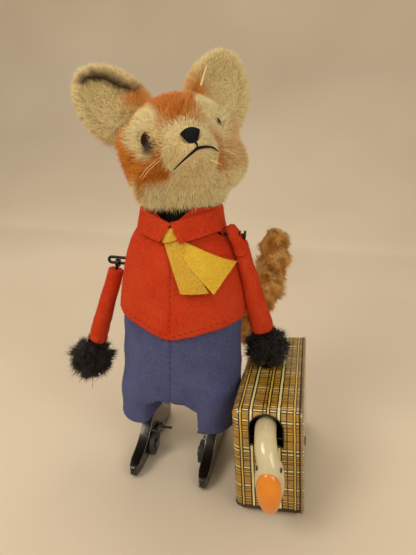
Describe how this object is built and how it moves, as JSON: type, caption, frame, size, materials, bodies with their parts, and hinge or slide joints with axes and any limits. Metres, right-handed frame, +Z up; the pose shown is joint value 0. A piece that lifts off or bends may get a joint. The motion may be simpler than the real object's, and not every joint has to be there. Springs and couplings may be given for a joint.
{
  "type": "clockwork walking toy figure",
  "caption": "Clockwork walking plush animal in felt clothes, carrying a printed tin travelling case with a goose looking out of it.",
  "frame": {"origin": "middle of the toy's footprint, on the floor it stands on", "axes": "+Z up; the figure faces -Y and its own left side, where the case is, is +X"},
  "size_m": [0.0844, 0.0684, 0.1363],
  "materials": {
    "orange_plush": "short mohair pile",
    "cream_plush": "short mohair pile",
    "tail_plush": "long mohair pile",
    "black_fur": "wiry fur",
    "nose": "dull gloss",
    "eye": "gloss",
    "red_felt": "felt",
    "blue_felt": "felt",
    "yellow_felt": "felt",
    "tin": "plain tinplate",
    "steel": "bright steel",
    "spring_steel": "blued steel",
    "brass": "bright brass",
    "shoe_tin": "dark brown gloss",
    "roller": "dull",
    "printed_tin": "printed plaid, gloss varnish",
    "ivory": "gloss",
    "orange_paint": "gloss",
    "lead": "dull"
  },
  "bodies": {
    "figure": {"neck_post": "tin", "body_shell_front": "tin", "body_shell_rear": "tin", "jacket": "red_felt", "collar": "red_felt", "necktie": "yellow_felt", "trousers": "blue_felt", "tail": "tail_plush", "tail_wire": "steel", "key_eyelet": "brass", "front_plate": "tin", "rear_plate": "tin", "frame_pillars": "steel", "frame_posts": "steel", "mainspring": "spring_steel", "contrate_bridge": "tin", "hip_shaft": "steel", "right_shoulder_wire": "steel", "left_shoulder_pin": "steel"},
    "head": {"head_core": "orange_plush", "left_ear": "cream_plush", "right_ear": "cream_plush", "nose": "nose", "left_eye": "eye", "right_eye": "eye"},
    "crank": {"crankshaft": "steel"},
    "contrate": {"contrate_wheel": "brass"},
    "second": {"second_wheel": "brass"},
    "great": {"great_wheel": "brass", "click_rivet": "steel"},
    "click": {"click": "steel"},
    "winding": {"winding_arbor": "steel", "ratchet_wheel": "steel", "winding_key": "steel"},
    "left_leg": {"left_leg": "steel", "left_shoe": "shoe_tin", "left_roller_axle": "steel", "left_ankle_pin": "steel"},
    "right_leg": {"right_leg": "steel", "right_shoe": "shoe_tin", "right_roller_axle": "steel", "right_ankle_pin": "steel"},
    "left_roller": {"left_roller": "roller"},
    "right_roller": {"right_roller": "roller"},
    "left_pawl": {"left_pawl": "steel"},
    "right_pawl": {"right_pawl": "steel"},
    "right_arm": {"right_arm_wire": "steel", "right_sleeve": "red_felt", "right_paw": "black_fur"},
    "left_arm": {"left_arm_wire": "steel", "left_sleeve": "red_felt", "left_paw": "black_fur"},
    "suitcase": {"case_body": "printed_tin", "case_side_cover": "printed_tin", "case_handle": "steel", "goose_pin": "steel"},
    "goose": {"goose": "ivory", "goose_bill": "orange_paint", "goose_weight": "lead"}
  },
  "joints": [
    {"name": "head_turn", "type": "hinge", "parent": "figure", "child": "head", "pos_m": [-0.00292, 0.0024, 0.098], "axis": [0, 0, 1], "range_deg": [-40, 40]},
    {"name": "crank_spin", "type": "hinge", "parent": "figure", "child": "crank", "pos_m": [-0.00292, 0.0059, 0.0412], "axis": [1, 0, 0], "continuous": true},
    {"name": "contrate_spin", "type": "hinge", "parent": "figure", "child": "contrate", "pos_m": [-0.00292, 0.0024, 0.0412], "axis": [0, 1, 0], "continuous": true},
    {"name": "second_wheel_spin", "type": "hinge", "parent": "figure", "child": "second", "pos_m": [-0.00292, 0.0024, 0.0508], "axis": [0, 1, 0], "continuous": true},
    {"name": "great_wheel_spin", "type": "hinge", "parent": "figure", "child": "great", "pos_m": [-0.00292, -0.0028, 0.062], "axis": [0, 1, 0], "continuous": true},
    {"name": "key_wind", "type": "hinge", "parent": "great", "child": "winding", "pos_m": [-0.00292, 0.0024, 0.062], "axis": [0, 1, 0], "range_deg": [0, 1440]},
    {"name": "click_lift", "type": "hinge", "parent": "great", "child": "click", "pos_m": [-0.00872, -0.0019, 0.064], "axis": [0, 1, 0], "range_deg": [-10, 0]},
    {"name": "left_leg_swing", "type": "hinge", "parent": "figure", "child": "left_leg", "pos_m": [0.00998, 0.0059, 0.031], "axis": [1, 0, 0], "range_deg": [-10, 10]},
    {"name": "right_leg_swing", "type": "hinge", "parent": "figure", "child": "right_leg", "pos_m": [-0.01582, 0.0059, 0.031], "axis": [1, 0, 0], "range_deg": [-10, 10]},
    {"name": "left_roller_spin", "type": "hinge", "parent": "left_leg", "child": "left_roller", "pos_m": [0.00608, -0.0016, 0.004], "axis": [1, 0, 0], "continuous": true},
    {"name": "right_roller_spin", "type": "hinge", "parent": "right_leg", "child": "right_roller", "pos_m": [-0.01192, -0.0016, 0.004], "axis": [1, 0, 0], "continuous": true},
    {"name": "left_pawl_lift", "type": "hinge", "parent": "left_leg", "child": "left_pawl", "pos_m": [0.00608, 0.0074, 0.005], "axis": [1, 0, 0], "range_deg": [-20, 0]},
    {"name": "right_pawl_lift", "type": "hinge", "parent": "right_leg", "child": "right_pawl", "pos_m": [-0.01192, 0.0074, 0.005], "axis": [1, 0, 0], "range_deg": [-20, 0]},
    {"name": "right_arm_swing", "type": "hinge", "parent": "figure", "child": "right_arm", "pos_m": [-0.02552, 0.0024, 0.07], "axis": [1, 0, 0], "range_deg": [-60, 30]},
    {"name": "left_arm_swing", "type": "hinge", "parent": "figure", "child": "left_arm", "pos_m": [0.01548, -0.0026, 0.0835], "axis": [1, 0, 0], "range_deg": [-8, 0]},
    {"name": "suitcase_swing", "type": "hinge", "parent": "left_arm", "child": "suitcase", "pos_m": [0.02568, 0.0088, 0.043], "axis": [0, 1, 0], "range_deg": [-8, 0]},
    {"name": "goose_bob", "type": "hinge", "parent": "suitcase", "child": "goose", "pos_m": [0.02972, -0.011, 0.02084], "axis": [0.9959, 0, 0.0906], "range_deg": [0, 8]}
  ],
  "couplings": [
    {"joint": "contrate_spin", "follows": "crank_spin", "ratio": 0.33333},
    {"joint": "second_wheel_spin", "follows": "crank_spin", "ratio": -0.066667},
    {"joint": "great_wheel_spin", "follows": "crank_spin", "ratio": 0.011111},
    {"joint": "right_leg_swing", "follows": "left_leg_swing", "ratio": -1}
  ]
}
